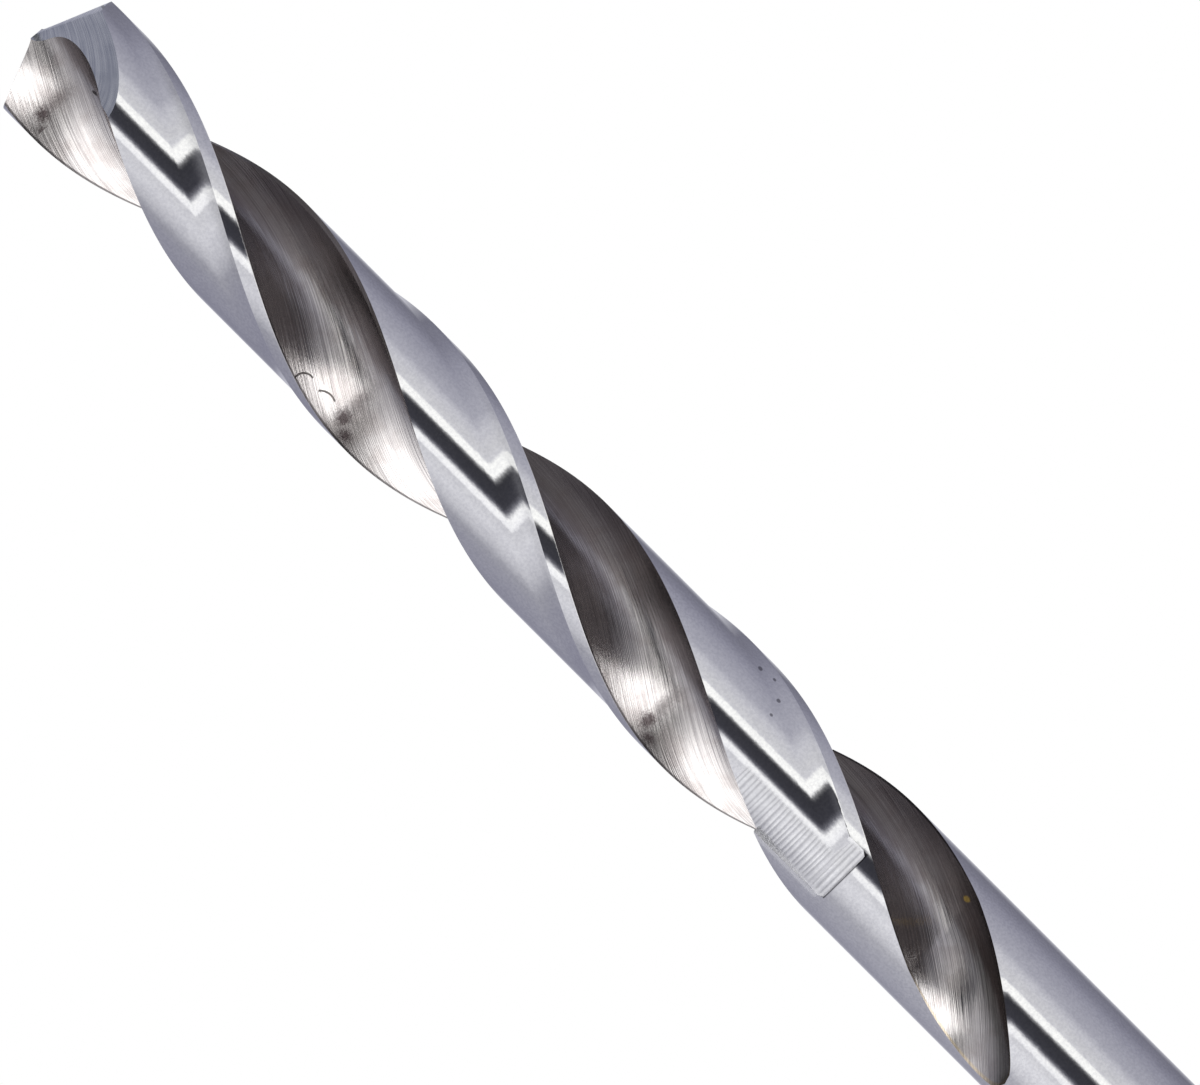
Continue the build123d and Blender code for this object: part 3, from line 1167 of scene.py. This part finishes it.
# The upper edge of the low lights: how high it lies, how far it drops to the right, and how
# soft it is.
LIGHTS_TOP = -15.0
DROP_AT, DROP = (12.0, 42.0), 15.0
SINK_FROM, SINK_OVER, SINK = 40.0, 60.0, 0.17
LIGHTS_SOFT = 17.0
CRISP_AT, CRISP = (-30.0, 0.0), 10.0
CRISPER_AT, CRISPER = (10.0, 35.0), 4.0
# The ring of lights is turned with height, so that their edges slant, and from here rightwards.
SLANT_AT, SLANT_LEVEL = (-25.0, -5.0), -34.0


def smooth(number, low, high):
    """0 below the low value, 1 above the high one, and smooth between."""
    share = between((number - low) / (high - low))
    return share * share * (3.0 - share * 2.0)


def studio():
    """White all round for the eye and for plain surfaces, and a lit room for what is glossy."""
    world = bpy.data.worlds.new("studio")
    bpy.context.scene.world = world
    world.use_nodes = True
    world.node_tree.nodes.clear()
    bench = Bench(world.node_tree)
    x, y, z = bench.split(bench.node("ShaderNodeTexCoord").outputs["Generated"])
    azimuth = atan2(x, -y) / DEGREE
    height = bench.math("ARCSINE", z) / DEGREE

    def ring(stops, turned):
        places = []
        for place, level, blueness in stops:
            share = level / CLEAR_LIGHT
            places.append(((place + 180) / 360, (share, share, share * (1 + blueness), 1.0)))
        turn = {0: turned / 360 + 0.5}
        return bench.node("ShaderNodeValToRGB", {"stops": places}, turn).outputs[0]

    def clear(levels):
        return (*[level / CLEAR_LIGHT for level in levels], 1.0)

    shade = smooth(azimuth, *SHADE_START) * (1.0 - smooth(azimuth, *SHADE_END))
    shade = shade * (1.0 - smooth(height, *SHADE_TOP))
    eye = bench.mixed(shade * SHADE_SHARE, ring(EYE_LEVEL, azimuth), BLACK)

    overhead = smooth(height, *OVERHEAD_FOOT)
    ceiling = bench.mixed(overhead, ring(CEILING, azimuth), clear(OVERHEAD))
    back = smooth(bench.math("ABSOLUTE", azimuth), *BACK_START)
    above = smooth(height + back * BACK_LOWER, EYE_TOP, CEILING_FOOT - back * BACK_CRISPER)
    room = bench.mixed(above, eye, ceiling)

    sunk = between(azimuth - SINK_FROM, 0.0, SINK_OVER) * SINK
    edge = LIGHTS_TOP - smooth(azimuth, *DROP_AT) * DROP - sunk
    crisper = smooth(azimuth, *CRISPER_AT) * CRISPER
    half = LIGHTS_SOFT - smooth(azimuth, *CRISP_AT) * CRISP - crisper
    low = 1.0 - smooth((height - edge) / half, -1.0, 1.0)
    slant = smooth(azimuth, *SLANT_AT) * (height - SLANT_LEVEL)
    lights = ring(LOW_LIGHTS, between(azimuth + slant, -180.0, 180.0))
    floor_fade = 1.0 - smooth(-height, *FLOOR_START) * FLOOR_SHARE
    room = bench.mixed(low, room, bench.mixed(floor_fade, BLACK, lights))

    rays = bench.node("ShaderNodeLightPath").outputs
    passed = Value(bench, rays["Is Transmission Ray"])
    glossy = most(Value(bench, rays["Is Glossy Ray"]), passed)
    seen = bench.mixed(glossy, clear(WHITE), room)
    light = bench.node("ShaderNodeBackground", {}, {"Color": seen, "Strength": CLEAR_LIGHT})
    bench.node("ShaderNodeOutputWorld", {}, {"Surface": light.outputs[0]})


AIM = Vector((2.03 * MM, 0.0, 77.24 * MM))
FRAME_WIDTH = 62.9 * MM
LENS = 400.0
SENSOR = 36.0


def camera():
    """Looks along +Y, rolled so that the drill lies across the frame with its point up left."""
    lens = bpy.data.cameras.new("camera")
    lens.lens = LENS
    lens.sensor_width = SENSOR
    distance = FRAME_WIDTH * LENS / SENSOR
    viewer = bpy.data.objects.new("camera", lens)
    right = Vector((1.0, 0.0, -1.0)).normalized()
    up = Vector((1.0, 0.0, 1.0)).normalized()
    back = Vector((0.0, -1.0, 0.0))
    turn = Matrix((right, up, back)).transposed().to_4x4()
    viewer.matrix_world = Matrix.Translation(AIM + back * distance) @ turn
    bpy.context.scene.collection.objects.link(viewer)
    bpy.context.scene.camera = viewer


pale_floor()
studio()
camera()
bpy.context.scene.view_settings.view_transform = "Standard"
